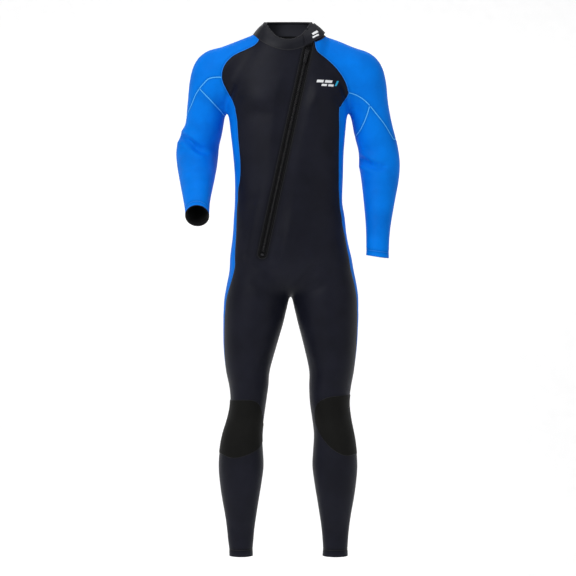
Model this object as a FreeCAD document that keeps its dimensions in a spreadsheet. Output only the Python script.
"""Full-length neoprene wetsuit with a diagonal front zip, in the shape it has when it is worn.

Row frame, millimetres: +Z up, +X towards the wearer's left, -Y the front.
The origin is the middle of the collar seam, where the suit hangs from a hanger or a neck.
Heights in the tables are measured up from the ankle hems and lowered by neck_height.
The suit is a 3 mm shell: outer lofts less inner lofts, cut along its seams into panels.
"""
import FreeCAD, Part
import math
import os
from FreeCAD import Placement, Rotation, Vector

os.makedirs("parts", exist_ok=True)
doc = FreeCAD.newDocument("Wetsuit")
sheet = doc.addObject("Spreadsheet::Sheet", "Dims")
SIDES = {"right": -1, "left": 1}
UP = Vector(0, 0, 1)
FRONT = Vector(0, -1, 0)
cells = {}


def dim(alias, value):
    """Writes one driving dimension into the sheet and returns it."""
    row = len(cells) + 1
    cells[alias] = value
    sheet.set(f"A{row}", alias)
    sheet.set(f"B{row}", str(round(value, 4)))
    sheet.setAlias(f"B{row}", alias)
    return value


def bind(feature, **expressions):
    """Binds properties of a feature to the sheet: __ in a name stands for a dot."""
    for name, expression in expressions.items():
        feature.setExpression(name.replace("__", "."), expression)
    return feature


# ---------------------------------------------------------------- driving dimensions
neck_height = dim("neck_height", 1388)
neoprene = dim("neoprene", 3)
seam_gap = dim("seam_gap", 0.15)
split_y = dim("front_back_split_y", 4)
waist_height = dim("waist_seam_height", 905)
hip_shift = dim("hip_shift", 5)

# Torso: height, right edge, left edge, front, back.
TORSO = [
    (712, -50, 60, -40, 60),
    (745, -122, 134, -76, 106),
    (783, -151, 168, -94, 117),
    (826, -147, 163, -101, 110),
    (869, -143, 151, -103, 98),
    (956, -142, 143, -103, 80),
    (1021, -142, 144, -104, 84),
    (1085, -147, 145, -103, 95),
    (1150, -156, 153, -99, 106),
    (1204, -164, 162, -94, 111),
    (1258, -174, 168, -88, 109),
    (1302, -174, 168, -80, 101),
    (1340, -150, 148, -73, 89),
    (1366, -118, 114, -70, 77),
    (1390, -94, 92, -69, 67),
    (1425, -86, 86, -68, 64),
]
# Leg, both sides: height, inner edge, outer edge, front, back.
LEG = [
    (846, 14, 112, -62, 84),
    (765, 5, 163, -82, 112),
    (697, 4, 180, -84, 112),
    (632, 20, 181, -82, 98),
    (567, 38, 179, -79, 89),
    (502, 54, 172, -74, 79),
    (459, 56, 164, -70, 70),
    (416, 60, 162, -66, 62),
    (373, 66, 168, -60, 59),
    (329, 71, 177, -52, 67),
    (286, 69, 184, -46, 77),
    (243, 67, 187, -42, 81),
    (200, 72, 184, -38, 77),
    (157, 79, 178, -34, 68),
    (113, 86, 171, -28, 57),
    (70, 92, 166, -22, 50),
]
# How far the hips stand towards the wearer's left, fading out down the leg.
HIP_FADE = {846: 1.0, 765: 1.0, 697: 1.0, 632: 1.0, 567: 0.9, 502: 0.6, 459: 0.3}
ankle_hem_height = dim("ankle_hem_height", 18)
ankle_bore = dim("ankle_bore_radius", 30)
ankle_x = dim("ankle_x", 128)
ankle_y = dim("ankle_y", 14)
wrist_hem_length = dim("wrist_hem_length", 16)
wrist_bore = dim("wrist_bore_radius", 25.5)
# Arm centre line (outwards, y, height) with half width across and half depth.
ARM = {
    "right": [
        (90, 4, 1345, 56, 55),
        (163, 6, 1316, 61, 57),
        (206, 14, 1270, 59, 60),
        (222, 32, 1212, 52, 56),
        (232, 52, 1157, 51, 53),
        (242, 64, 1128, 53, 52),
        (247, 69, 1098, 55, 51),
        (248, 54, 1070, 53, 50),
        (249, 33, 1049, 51, 48),
        (249, -12, 1006, 43, 41),
        (248, -55, 965, 34, 34),
        (247, -92, 929, 28.5, 28.5),
    ],
    "left": [
        (90, 4, 1345, 56, 55),
        (161, 6, 1316, 61, 57),
        (204, 13, 1270, 59, 60),
        (220, 21, 1210, 52, 56),
        (230, 28, 1152, 51, 53),
        (241, 33, 1104, 51, 52),
        (248, 33, 1062, 50, 51),
        (249, 25, 1021, 47, 49),
        (247, 7, 966, 39, 42),
        (245, -13, 897, 31, 34),
        (243, -26, 854, 28.5, 30),
        (242, -34, 822, 28.5, 28.5),
    ],
}
elbow_reach = dim("elbow_reach", 57)
# Elbow hinge points: outwards, y, height.
ELBOW = {"right": (247, 70, 1095), "left": (247, 32, 1066)}
knee_height = dim("knee_height", 390)
knee_reach = dim("knee_reach", 68)
pad_thickness = dim("pad", 1.5)


# ---------------------------------------------------------------- limb lofts
def ellipse_placement(centre, along, across_is_major):
    """Stands an ellipse across a limb, its major axis across the limb or front to back."""
    along = Vector(along).normalize()
    front = (FRONT - along * FRONT.dot(along)).normalize()
    across = along.cross(front)
    major = across if across_is_major else front
    return Placement(centre, Rotation(major, along.cross(major), along, "ZXY"))


def limb(name, stations, directions, grow=""):
    """A solid through elliptical stations, every radius changed by the grow expression."""
    sections = []
    for number, ((centre, across, deep, tag), along) in enumerate(zip(stations, directions)):
        ring = doc.addObject("Part::Ellipse", f"{name}_{number}")
        wide = across >= deep
        if f"{tag}_half_long" not in cells:
            dim(f"{tag}_half_long", max(across, deep))
            dim(f"{tag}_half_short", min(across, deep))
        ring.MajorRadius, ring.MinorRadius = 500, 1
        bind(ring, MajorRadius=f"Dims.{tag}_half_long{grow}", MinorRadius=f"Dims.{tag}_half_short{grow}")
        ring.Placement = ellipse_placement(centre, along, wide)
        sections.append(ring)
    loft = doc.addObject("Part::Loft", name)
    loft.Sections = sections
    loft.Solid = True
    loft.Ruled = False
    return loft


def span(low, high):
    return (low + high) / 2, (high - low) / 2


def torso_stations():
    rows = []
    for height, right, left, front, back in TORSO:
        x, across = span(right, left)
        y, deep = span(front, back)
        rows.append((Vector(x, y, height - neck_height), across, deep, f"torso_at_{height}"))
    return rows


def leg_stations(sign):
    rows = []
    for height, inner, outer, front, back in LEG:
        x, across = span(inner, outer)
        y, deep = span(front, back)
        shift = hip_shift * HIP_FADE.get(height, 0)
        rows.append((Vector(sign * x + shift, y, height - neck_height), across, deep, f"leg_at_{height}"))
    top_of_hem = Vector(sign * ankle_x, ankle_y, ankle_hem_height - neck_height)
    rows.append((top_of_hem, ankle_bore + neoprene, ankle_bore + neoprene, "leg_at_hem"))
    return rows


def arm_stations(side):
    sign = SIDES[side]
    return [
        (Vector(sign * out, y, height - neck_height), across, deep, f"{side}_arm_at_{height}")
        for out, y, height, across, deep in ARM[side]
    ]


def headings(stations):
    """The direction of a centre line at each station, from its neighbours."""
    points = [station[0] for station in stations]
    last = len(points) - 1
    return [points[min(i + 1, last)] - points[max(i - 1, 0)] for i in range(last + 1)]


def stretched(stations, directions, reach):
    """The same stations with the last one moved on, so an inner loft opens the end."""
    centre, *section = stations[-1]
    moved = centre + Vector(directions[-1]).normalize() * reach
    return stations[:-1] + [(moved, *section)]


OPEN_END = 4
torso_rows = torso_stations()
flat = [UP] * len(torso_rows)
THINNER = " - Dims.neoprene"
outer_parts = [limb("torso", torso_rows, flat)]
inner_parts = [limb("torso_inside", torso_rows, flat, THINNER)]
arm_rows = {side: arm_stations(side) for side in SIDES}
arm_ways = {side: headings(rows) for side, rows in arm_rows.items()}
leg_rows = {side: leg_stations(sign) for side, sign in SIDES.items()}
leg_ways = {side: [-UP] * len(rows) for side, rows in leg_rows.items()}
for side in SIDES:
    for kind, rows, ways in (
        (f"{side}_arm", arm_rows[side], arm_ways[side]),
        (f"{side}_leg", leg_rows[side], leg_ways[side]),
    ):
        outer_parts.append(limb(kind, rows, ways))
        longer = stretched(rows, ways, OPEN_END)
        inner_parts.append(limb(f"{kind}_inside", longer, ways, THINNER))


def joined(name, shapes):
    union = doc.addObject("Part::MultiFuse", name)
    union.Shapes = shapes
    return union


def less(name, base, tool):
    cut = doc.addObject("Part::Cut", name)
    cut.Base = base
    cut.Tool = tool
    return cut


def both(name, base, tool):
    common = doc.addObject("Part::Common", name)
    common.Base = base
    common.Tool = tool
    return common


# The collar seam lies in a plane through the origin that drops towards the throat.
collar_tilt = dim("collar_tilt_deg", 18.4)
collar_frame = Placement(Vector(), Rotation(Vector(1, 0, 0), collar_tilt))
collar_across = dim("collar_seam_half_width", 94)
collar_deep = dim("collar_seam_half_depth", 71)
collar_top_across = dim("collar_top_half_width", 68)
collar_top_deep = dim("collar_top_half_depth", 62)
collar_height = dim("collar_height", 31)
collar_thickness = dim("collar_thickness", 3.5)


def collar_ring(name, level, grow):
    """An ellipse round the neck, level mm above the seam, grown outwards by grow."""
    share = f"{level} / Dims.collar_height"
    seam_wide, seam_deep = "Dims.collar_seam_half_width", "Dims.collar_seam_half_depth"
    wide = f"{seam_wide} + (Dims.collar_top_half_width - {seam_wide}) * {share}"
    deep = f"{seam_deep} + (Dims.collar_top_half_depth - {seam_deep}) * {share}"
    ring = doc.addObject("Part::Ellipse", name)
    ring.MajorRadius, ring.MinorRadius = 500, 1
    bind(ring, MajorRadius=f"{wide} + {grow}", MinorRadius=f"{deep} + {grow}")
    ring.Placement = collar_frame * Placement(Vector(0, 0, level), Rotation())
    return ring


def collar_cone(name, low, high, grow):
    cone = doc.addObject("Part::Loft", name)
    cone.Sections = [collar_ring(f"{name}_low", low, grow), collar_ring(f"{name}_high", high, grow)]
    cone.Solid = True
    cone.Ruled = True
    return cone


collar_base = doc.addObject("Part::Ellipse", "collar_base")
collar_base.MajorRadius, collar_base.MinorRadius = 500, 1
bind(
    collar_base,
    MajorRadius="Dims.collar_seam_half_width + 2",
    MinorRadius="Dims.collar_seam_half_depth + 6",
)
collar_base.Placement = collar_frame
collar_space = doc.addObject("Part::Extrusion", "collar_space")
collar_space.Base = collar_base
collar_space.DirMode = "Normal"
collar_space.LengthFwd = 80
collar_space.Solid = True
untrimmed = joined("untrimmed", outer_parts)
suit_outer = less("suit_outer", untrimmed, collar_space)
suit_inner = joined("suit_inner", inner_parts)
skin = less("skin", suit_outer, suit_inner)


# ---------------------------------------------------------------- seam outlines
REACH = 900


def outline(name, runs, plane):
    """A closed sketch: each run of points is a smooth curve or straight lines, in order."""
    sketch = doc.addObject("Sketcher::SketchObject", name)
    for smooth, points in runs:
        flat_points = [Vector(u, v - neck_height, 0) for u, v in points]
        if smooth:
            curve = Part.BSplineCurve()
            curve.interpolate(flat_points)
            sketch.addGeometry(curve, False)
        else:
            for start, end in zip(flat_points, flat_points[1:]):
                sketch.addGeometry(Part.LineSegment(start, end), False)
    turn = Rotation(Vector(1, 0, 0), 90)
    if plane == "YZ":
        turn = Rotation(UP, 90) * turn
    sketch.Placement = Placement(Vector(), turn)
    return sketch


def prism(name, runs, plane="XZ", low=-REACH, high=REACH):
    """The outline drawn in front view (XZ) or side view (YZ), swept through the suit."""
    block = doc.addObject("Part::Extrusion", name)
    block.Base = outline(f"{name}_outline", runs, plane)
    block.DirMode = "Custom"
    block.Dir = Vector(0, 1, 0) if plane == "XZ" else Vector(1, 0, 0)
    block.LengthFwd = high
    block.LengthRev = -low
    block.Solid = True
    return block


def slab(name, low, high):
    """A box between two corners, heights above the ankle hems."""
    box = doc.addObject("Part::Box", name)
    box.Length, box.Width, box.Height = (b - a for a, b in zip(low, high))
    box.Placement.Base = Vector(low[0], low[1], low[2] - neck_height)
    return box


# Seam lines in front view, (x, height), each from the collar or the trunk outwards.
# Raglan line between the black front or back and the blue shoulder.
RAGLAN = {
    "right": [
        (-76, 1425), (-88, 1386), (-117, 1370), (-146, 1356), (-167, 1336), (-178, 1315), (-180, 1294),
    ],
    "left": [
        (70, 1425), (80, 1372), (104, 1347), (128, 1324), (146, 1301), (158, 1279), (165, 1254),
    ],
}
# Armhole edge of the black panels, from the raglan line down to the side seam.
ARMHOLE = {
    "right": [(-180, 1294), (-176, 1280), (-164, 1255), (-150, 1228), (-143, 1204)],
    "left": [(165, 1254), (161, 1243), (152, 1228), (145, 1215), (142, 1204)],
}
# Seam over the upper arm, from the raglan line to where the gusset seam meets it.
DELTOID = {
    "right": [(-180, 1294), (-200, 1294), (-216, 1290), (-227, 1280), (-241, 1265)],
    "left": [(165, 1254), (180, 1250), (195, 1242), (212, 1230), (222, 1219)],
}
# The same seam carried on round the outside of the arm.
DELTOID_OUTER = {
    "right": [(-241, 1265), (-253, 1246), (-264, 1224), (-290, 1180)],
    "left": [(222, 1219), (244, 1193), (265, 1168), (290, 1130)],
}
# Seam from the deltoid line to the inside of the arm.
GUSSET = {
    "right": [(-241, 1265), (-210, 1233), (-182, 1205), (-172, 1196)],
    "left": [(222, 1219), (212, 1190), (197, 1155), (180, 1136), (166, 1130)],
}
# Through the air between arm and trunk.
ARM_GAP = {
    "right": [(-172, 1196), (-168, 1130), (-169, 1021), (-175, 956), (-185, 800), (-190, 700)],
    "left": [(166, 1130), (170, 1085), (172, 1021), (178, 956), (186, 869), (195, 800), (200, 700)],
}
ARMPIT = {"right": (-172, 1196), "left": (168, 1196)}
# Side seams in side view, (y, height): the strip's front edge and its back edge.
STRIP_FRONT = [
    (-42, 1204), (-45, 1130), (-45, 1042), (-40, 965), (-36, 869), (-33, 783), (-22, 697), (-14, 600),
    (4, 495),
]
STRIP_BACK = [
    (4, 495), (24, 600), (36, 697), (36, 783), (28, 869), (26, 965), (36, 1042), (52, 1130), (60, 1204),
]
# Knee pad outlines in front view.
PAD = {
    "right": [
        (-198, 410), (-155, 418), (-120, 421), (-93, 419), (-79, 407), (-71, 380), (-68, 340),
        (-70, 306), (-82, 286), (-112, 271), (-149, 263), (-180, 272), (-198, 284),
    ],
    "left": [
        (198, 428), (168, 432), (140, 432), (111, 429), (89, 419), (77, 404), (74, 367), (84, 336),
        (100, 309), (123, 286), (152, 270), (179, 271), (198, 280),
    ],
}
FAR = 420
BELOW = -60

shoulders, underarms, sleeves = {}, {}, {}
for side, sign in SIDES.items():
    far = sign * FAR
    outer_seam = DELTOID_OUTER[side]
    shoulder_region = prism(
        f"{side}_shoulder_region",
        [
            (True, RAGLAN[side]),
            (True, DELTOID[side]),
            (True, outer_seam),
            (False, [outer_seam[-1], (far, outer_seam[-1][1]), (far, 1425), RAGLAN[side][0]]),
        ],
    )
    drop = [ARMPIT[side]] if side == "right" else [ARMPIT[side], GUSSET[side][-1]]
    underarm_region = prism(
        f"{side}_underarm_region",
        [
            (True, ARMHOLE[side]),
            (False, [ARMHOLE[side][-1]] + drop),
            (True, GUSSET[side][::-1]),
            (True, DELTOID[side][::-1]),
        ],
    )
    sleeve_region = prism(
        f"{side}_sleeve_region",
        [
            (True, GUSSET[side]),
            (False, ARM_GAP[side] + [(far, 700), (far, outer_seam[-1][1]), outer_seam[-1]]),
            (True, outer_seam[::-1]),
        ],
    )
    shoulders[side] = both(f"{side}_shoulder", skin, shoulder_region)
    underarms[side] = both(f"{side}_underarm", skin, underarm_region)
    sleeves[side] = both(f"{side}_sleeve", skin, sleeve_region)


def trunk_runs():
    """Right collar point, down the right side, round the legs and up the left side."""
    right, left = (
        [
            (True, RAGLAN[side]),
            (True, ARMHOLE[side]),
            (False, [ARMHOLE[side][-1], ARMPIT[side]] + ARM_GAP[side][1 if side == "right" else 0:]),
        ]
        for side in ("right", "left")
    )
    bottom = [ARM_GAP["right"][-1], (-FAR, 700), (-FAR, BELOW), (FAR, BELOW), (FAR, 700), ARM_GAP["left"][-1]]
    back_up = [(smooth, points[::-1]) for smooth, points in left[::-1]]
    return right + [(False, bottom)] + back_up + [(False, [RAGLAN["left"][0], RAGLAN["right"][0]])]


trunk = both("trunk", skin, prism("trunk_region", trunk_runs()))


# ---------------------------------------------------------------- parts that are handed over
nodes = []


def node(feature, label):
    """Marks a feature as one named piece of the suit."""
    feature.Label = label
    nodes.append(feature)
    return feature


knee_top = knee_height + knee_reach
knee_bottom = dim("knee_section_bottom", 262)
strips = {}
for side, sign in SIDES.items():
    low, high = sorted((sign * 100, sign * 215))
    strips[side] = prism(
        f"{side}_strip_region",
        [(True, STRIP_FRONT), (True, STRIP_BACK), (False, [STRIP_BACK[-1], STRIP_FRONT[0]])],
        "YZ",
        low,
        high,
    )
    strip = both(f"{side}_strip", trunk, strips[side])
    node(joined(f"{side}_side_panel", [underarms[side], strip]), f"side_panel_{side}")
    node(shoulders[side], f"shoulder_panel_{side}")
both_strips = joined("both_strips", list(strips.values()))
plain_trunk = less("plain_trunk", trunk, both_strips)

# The zip runs along an arc over the chest: from its top end down to its bottom end.
ZIP_TOP = Vector(55, -64, 1372 - neck_height)
ZIP_BOTTOM = Vector(-71.6, -84, 796.5 - neck_height)
zip_rise = dim("zip_rise", 27)
chord = ZIP_TOP - ZIP_BOTTOM
zip_radius = dim("zip_arc_radius", (chord.Length ** 2 / 4 + zip_rise ** 2) / (2 * zip_rise))
up_zip = Vector(chord).normalize()
across_zip = up_zip.cross(FRONT).normalize()
out_of_zip = across_zip.cross(up_zip).normalize()
zip_centre = (ZIP_TOP + ZIP_BOTTOM) * 0.5 - out_of_zip * (zip_radius - zip_rise)
zip_frame = Placement(zip_centre, Rotation(across_zip, out_of_zip * -1, up_zip, "XZY"))
half_arc = math.asin(chord.Length / 2 / zip_radius)
zip_length = 2 * half_arc * zip_radius


def zip_angle(run):
    """Turn about the arc's axis, in degrees, of a point this far down from the top end."""
    return math.degrees(run / zip_radius - half_arc)


def zip_spot(run):
    """Frame on the zip: x across, y into the suit from the arc's centre, z up the zip."""
    return zip_frame * Placement(Vector(), Rotation(Vector(1, 0, 0), zip_angle(run)))


def rectangle(name, corners):
    sketch = doc.addObject("Sketcher::SketchObject", name)
    (left, low), (right, high) = corners
    ring = [Vector(left, low, 0), Vector(right, low, 0), Vector(right, high, 0), Vector(left, high, 0)]
    for start, end in zip(ring, ring[1:] + ring[:1]):
        sketch.addGeometry(Part.LineSegment(start, end), False)
    return sketch


def along_zip(name, across, heights, runs):
    """A strip that follows the zip; heights are measured outwards from the suit's face."""
    low, high = (zip_radius + value for value in heights)
    section = rectangle(f"{name}_section", ((across[0], -high), (across[1], -low)))
    section.Placement = zip_spot(runs[0])
    strip_body = doc.addObject("Part::Revolution", name)
    strip_body.Source = section
    strip_body.Axis = across_zip
    strip_body.Base = zip_centre
    strip_body.Angle = math.degrees((runs[1] - runs[0]) / zip_radius)
    strip_body.Solid = True
    return strip_body


bay_half = dim("zip_bay_half_width", 21)
zip_start = dim("zip_start", 9)
tape_end = dim("zip_tape_end", 584)
bay_end = dim("zip_bay_end", 592)


def on_face(across, run):
    """Front-view point of the straight zip line, (x, height)."""
    spot = ZIP_TOP - up_zip * run + across_zip * across
    return spot.x, spot.z + neck_height


BAY_ABOVE = -90
bay_corners = [
    on_face(across, run)
    for across, run in (
        (-bay_half, BAY_ABOVE), (bay_half, BAY_ABOVE), (bay_half, bay_end), (-bay_half, bay_end),
    )
]
bay = prism("zip_bay", [(False, bay_corners + bay_corners[:1])], "XZ", -REACH, 0)
front_zone = slab("front_zone", (-400, -300, knee_top), (400, split_y, 1500))
back_zone = slab("back_zone", (-400, split_y, waist_height), (400, 300, 1500))
seat_zone = slab("seat_zone", (-400, split_y, knee_top), (400, 300, waist_height))
front = both("front", plain_trunk, front_zone)
node(less("front_with_bay", front, bay), "front_panel")
node(both("back", plain_trunk, back_zone), "back_panel")
node(both("seat", plain_trunk, seat_zone), "seat_panel")


def beyond(name, point, direction):
    """A large block on the far side of a plane across a limb."""
    block = doc.addObject("Part::Box", name)
    block.Length, block.Width, block.Height = 400, 900, 700
    turn = Rotation(Vector(1, 0, 0), FRONT, Vector(direction), "ZXY")
    block.Placement = Placement(point, turn) * Placement(Vector(-200, -450, 0), Rotation())
    return block


def tube(name, outer_radius, inner_radius, length, placement):
    """A plain ring with its start at the placement and its axis along local +Z."""
    solids = []
    for kind, radius, extra in (("outside", outer_radius, 0), ("hole", inner_radius, 1)):
        round_bar = doc.addObject("Part::Cylinder", f"{name}_{kind}")
        bind(round_bar, Radius=radius, Height=f"{length} + {2 * extra}")
        round_bar.Placement = placement * Placement(Vector(0, 0, -extra), Rotation())
        solids.append(round_bar)
    return less(name, *solids)


for side, sign in SIDES.items():
    arm_outer, leg_outer = (part for part in outer_parts if part.Name.startswith(side))
    arm_inner, leg_inner = (part for part in inner_parts if part.Name.startswith(side))
    arm_shell = less(f"{side}_arm_shell", arm_outer, arm_inner)
    leg_shell = less(f"{side}_leg_shell", leg_outer, leg_inner)
    out, y, height = ELBOW[side]
    elbow = Vector(sign * out, y, height - neck_height)
    rows = arm_rows[side]
    upper_way = (rows[5][0] - rows[3][0]).normalize()
    fore_way = (rows[11][0] - rows[9][0]).normalize()
    below = beyond(f"{side}_below_upper_arm", elbow - upper_way * elbow_reach, upper_way)
    past = beyond(f"{side}_past_elbow", elbow + fore_way * elbow_reach, fore_way)
    clear = beyond(f"{side}_forearm_zone", elbow + fore_way * (elbow_reach + 2 * seam_gap), fore_way)
    node(less(f"{side}_upper_sleeve", sleeves[side], below), f"sleeve_upper_{side}")
    bent = both(f"{side}_bent_arm", arm_shell, below)
    node(less(f"{side}_elbow", bent, past), f"elbow_section_{side}")
    node(both(f"{side}_forearm", arm_shell, clear), f"sleeve_forearm_{side}")
    wrist = Placement(rows[-1][0], Rotation(Vector(1, 0, 0), FRONT, arm_ways[side][-1], "ZXY"))
    wrist_radius = ("Dims.wrist_bore_radius + Dims.neoprene", "Dims.wrist_bore_radius")
    node(tube(f"{side}_wrist_ring", *wrist_radius, "Dims.wrist_hem_length", wrist), f"wrist_hem_{side}")

    knee_zone = slab(f"{side}_knee_zone", (-400, -300, knee_bottom), (400, 300, knee_top))
    shin_zone = slab(f"{side}_shin_zone", (-400, -300, 0), (400, 300, knee_bottom - 2 * seam_gap))
    node(both(f"{side}_knee", leg_shell, knee_zone), f"knee_section_{side}")
    node(both(f"{side}_shin", leg_shell, shin_zone), f"leg_lower_{side}")
    ankle = Placement(leg_rows[side][-1][0], Rotation(Vector(1, 0, 0), 180))
    ankle_radius = ("Dims.ankle_bore_radius + Dims.neoprene", "Dims.ankle_bore_radius")
    node(tube(f"{side}_ankle_ring", *ankle_radius, "Dims.ankle_hem_height", ankle), f"ankle_hem_{side}")
    near_knee = slice(5, 13)
    pad_loft = limb(f"{side}_pad_loft", leg_rows[side][near_knee], leg_ways[side][near_knee], " + Dims.pad")
    pad_skin = less(f"{side}_pad_skin", pad_loft, leg_outer)
    pad_runs = [(True, PAD[side]), (False, [PAD[side][-1], PAD[side][0]])]
    pad_region = prism(f"{side}_pad_region", pad_runs, "XZ", -REACH, 6)
    node(both(f"{side}_pad", pad_skin, pad_region), f"knee_pad_{side}")


# ---------------------------------------------------------------- collar
def collar_shell(name, low, high, outside, inside):
    """A conical band from low to high above the seam, between two offsets of the collar face."""
    outer_cone = collar_cone(f"{name}_outer", low, high, outside)
    inner_cone = collar_cone(f"{name}_inner", low - 1, high + 1, inside)
    return less(f"{name}_wall", outer_cone, inner_cone)


def collar_wedge(name, start, end):
    """A block standing on the collar seam between two angles, measured from the left side to the front."""
    corners = [(0, 0)]
    steps = 6
    for step in range(steps + 1):
        turn = math.radians(start + (end - start) * step / steps)
        corners.append((200 * math.cos(turn), -200 * math.sin(turn)))
    sketch = doc.addObject("Sketcher::SketchObject", f"{name}_outline")
    points = [Vector(x, y, 0) for x, y in corners]
    for first, second in zip(points, points[1:] + points[:1]):
        sketch.addGeometry(Part.LineSegment(first, second), False)
    sketch.Placement = collar_frame * Placement(Vector(0, 0, -5), Rotation())
    wedge = doc.addObject("Part::Extrusion", name)
    wedge.Base = sketch
    wedge.DirMode = "Normal"
    wedge.LengthFwd = 60
    wedge.Solid = True
    return wedge


binding_wrap = dim("collar_binding_wrap", 1)
binding_depth = dim("collar_binding_depth", 5)
slot_angle, slot_half = 37, 0.9
tab_span = (8, 52)
collar_slot = collar_wedge("collar_slot", slot_angle - slot_half, slot_angle + slot_half)
whole_band = collar_shell("collar", 0.2, collar_height, "0", "(-Dims.collar_thickness)")
edge_tape = collar_shell(
    "binding",
    collar_height - binding_depth,
    collar_height + binding_wrap,
    "Dims.collar_binding_wrap",
    "(-Dims.collar_thickness - Dims.collar_binding_wrap)",
)
wrapped = less("wrapped_edge", edge_tape, whole_band)
node(less("slotted_collar", whole_band, collar_slot), "collar_band")
node(less("slotted_binding", wrapped, collar_slot), "collar_binding")
tab_low, tab_high = 4, collar_height - binding_depth - 1
tab_band = collar_shell("tab", tab_low, tab_high, "5.4", "2.6")
node(both("tab_cut", tab_band, collar_wedge("tab_wedge", *tab_span)), "collar_tab")
hook_band = collar_shell("hook", tab_low + 2, tab_high - 2, "2.6", "1.6")
node(both("hook_cut", hook_band, collar_wedge("hook_wedge", 40.5, 50.5)), "hook_patch")
loop_band = collar_shell("loop", tab_low + 1, tab_high - 1, "1.1", "0")
node(both("loop_cut", loop_band, collar_wedge("loop_wedge", 39.5, 58)), "loop_patch")

# ---------------------------------------------------------------- zip
tooth_pitch = dim("tooth_pitch", 4)
tape_top = dim("tape_half_width", 16)
facing_edge = dim("facing_inner_edge", 9)
teeth_start = dim("teeth_start", 13)
teeth_end = dim("teeth_end", 573)
slider_rest = dim("slider_rest", 24)
slider_half = dim("slider_half_length", 9)
HALF_GAP = 0.6
TOOTH_REACH = 4.2


def mirrored(sign, low, high):
    return (low, high) if sign > 0 else (-high, -low)


def on_arc(angle_run, height):
    """Side-view point on the zip in its arc's own plane."""
    turn = half_arc - angle_run / zip_radius
    reach = zip_radius + height
    return Vector(0, -reach * math.cos(turn), reach * math.sin(turn))


def tooth_row(side, sign):
    """One row of moulded teeth as a toothed rail that follows the arc."""
    base, valley, crest = -3.0, -1.7, -0.6
    count = int((teeth_end - teeth_start) / tooth_pitch)
    outline_points = []
    for tooth in range(count):
        start = teeth_start + tooth * tooth_pitch
        for offset, height in ((0, valley), (0.6, crest), (2.4, crest), (3.0, valley)):
            outline_points.append(on_arc(start + offset, height))
    end = teeth_start + count * tooth_pitch
    outline_points.append(on_arc(end, valley))
    steps = 40
    for step in range(steps + 1):
        outline_points.append(on_arc(end + (teeth_start - end) * step / steps, base))
    rail = doc.addObject("Part::Polygon", f"{side}_tooth_outline")
    rail.Nodes = outline_points
    rail.Close = True
    rail.Placement = zip_frame * Placement(Vector(sign * HALF_GAP, 0, 0), Rotation())
    row = doc.addObject("Part::Extrusion", f"{side}_teeth")
    row.Base = rail
    row.DirMode = "Custom"
    row.Dir = across_zip * sign
    row.LengthFwd = TOOTH_REACH - HALF_GAP
    row.Solid = True
    return row


for side, sign in SIDES.items():
    facing_width = mirrored(sign, facing_edge, bay_half)
    facing = along_zip(f"{side}_facing", facing_width, (-neoprene, 0), (zip_start, bay_end))
    node(facing, f"zip_facing_{side}")
    tape_width = mirrored(sign, HALF_GAP, tape_top)
    tape = along_zip(f"{side}_tape", tape_width, (-4.0, -3.05), (zip_start, tape_end))
    node(tape, f"zip_tape_{side}")
    node(tooth_row(side, sign), f"zip_teeth_{side}")
    stop_run = (zip_start + 0.5, teeth_start - 0.4)
    stop = along_zip(f"{side}_stop", mirrored(sign, HALF_GAP, 4.6), (-3.05, -0.2), stop_run)
    node(stop, f"zip_top_stop_{side}")
end_stop = along_zip("end_stop", (-4.6, 4.6), (-3.05, 0.4), (teeth_end + 0.4, teeth_end + 7))
node(end_stop, "zip_bottom_stop")
end_patch = along_zip("end_patch", (-facing_edge, facing_edge), (-neoprene, 0), (tape_end, bay_end))
node(end_patch, "zip_end_patch")
# The guard is a flap behind the teeth, sewn down along the wearer's left edge only.
guard_run = (zip_start + 4, tape_end)
guard_edge = bay_half - 0.6
guard_sheet = along_zip("guard_sheet", (-guard_edge, guard_edge), (-9.6, -7.4), guard_run)
guard_rib = along_zip("guard_rib", (tape_top + 1, guard_edge), (-7.4, -neoprene), guard_run)
node(joined("guard", [guard_sheet, guard_rib]), "zip_guard")


def zip_block(name, across, heights, along, run):
    """A box on the zip: across it, out from its face and up along it from the given place."""
    block = doc.addObject("Part::Box", name)
    block.Length = across[1] - across[0]
    block.Width = heights[1] - heights[0]
    block.Height = along[1] - along[0]
    corner = Vector(across[0], -zip_radius - heights[1], along[0])
    block.Placement = zip_spot(run) * Placement(corner, Rotation())
    return block


def zip_pin(name, radius, across, height, run):
    """A round bar across the zip."""
    bar = doc.addObject("Part::Cylinder", name)
    bar.Radius = radius
    bar.Height = across[1] - across[0]
    lie_across = Rotation(Vector(0, 1, 0), 90)
    bar.Placement = zip_spot(run) * Placement(Vector(across[0], -zip_radius - height, 0), lie_across)
    return bar


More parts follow.
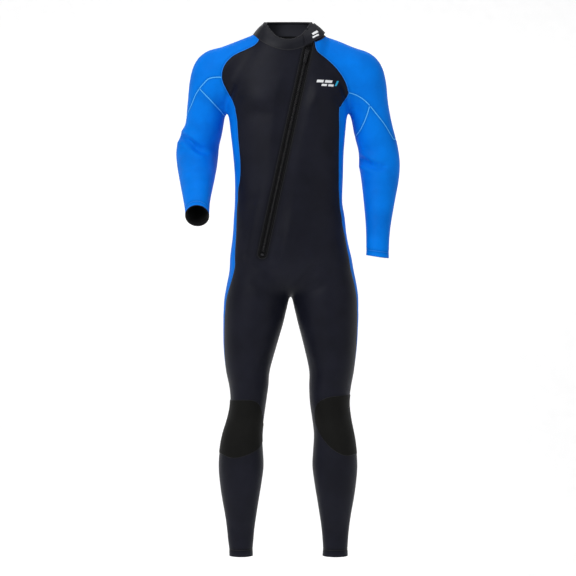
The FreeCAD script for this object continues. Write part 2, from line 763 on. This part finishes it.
wing = (-slider_half, slider_half)
pin_height = dim("puller_pin_height", 3.9)
slider_parts = [
    zip_block("upper_wing", (-6.4, 6.4), (-0.25, 1.5), wing, slider_rest),
    zip_block("lower_wing", (-6.4, 6.4), (-6.2, -4.5), wing, slider_rest),
    zip_block("diamond", (-0.28, 0.28), (-4.6, -0.2), (2, slider_half), slider_rest),
    zip_block("cheek_right", (-3.8, -2.7), (1.4, 5.0), (-1.6, 1.6), slider_rest),
    zip_block("cheek_left", (2.7, 3.8), (1.4, 5.0), (-1.6, 1.6), slider_rest),
    zip_pin("pull_pin", 0.8, (-3.3, 3.3), pin_height, slider_rest),
]
node(joined("slider", slider_parts), "zip_slider")
eye = zip_pin("eye", 1.9, (-2.2, 2.2), pin_height, slider_rest)
neck = zip_block("pull_neck", (-2.2, 2.2), (3.0, 4.8), (-6.5, -1.2), slider_rest)
plate = zip_block("pull_plate", (-4.5, 4.5), (3.0, 4.8), (-30, -6), slider_rest)
solid_puller = joined("solid_puller", [eye, neck, plate])
eye_hole = zip_pin("eye_hole", 1.2, (-3, 3), pin_height, slider_rest)
node(less("drilled_puller", solid_puller, eye_hole), "zip_puller")

# ---------------------------------------------------------------- printed marks
print_thickness = dim("print_thickness", 0.4)
chest_print = limb("print_loft", torso_rows, flat, " + Dims.print_thickness")
print_skin = less("print_skin", chest_print, outer_parts[0])
MARK = [(78, 1289), (122, 1285), (126, 1276), (120, 1268), (92, 1271), (88, 1279), (78, 1281)]
mark_region = prism("mark_region", [(False, MARK + MARK[:1])], "XZ", -REACH, 0)
node(both("chest_print_cut", print_skin, mark_region), "chest_print")
mark_band = collar_shell("tab_mark", 12, 20, "5.8", "5.4")
node(both("tab_mark_cut", mark_band, collar_wedge("mark_wedge", 26, 36)), "tab_print")

# ---------------------------------------------------------------- rebuild, check and export
doc.recompute()
for thing in doc.Objects:
    if "Invalid" in thing.State or "Error" in thing.State:
        raise RuntimeError(f"{thing.Name} didn't rebuild: {thing.State}")
for thing in nodes:
    shape = thing.Shape
    if shape.isNull() or not shape.isValid() or shape.Volume <= 0:
        raise RuntimeError(f"{thing.Label} has no valid solid")
    shape.exportStep(f"parts/{thing.Label}.step")
    print(f"{thing.Label}: {shape.Volume / 1000:.1f} cm3, {len(shape.Solids)} solid(s)")
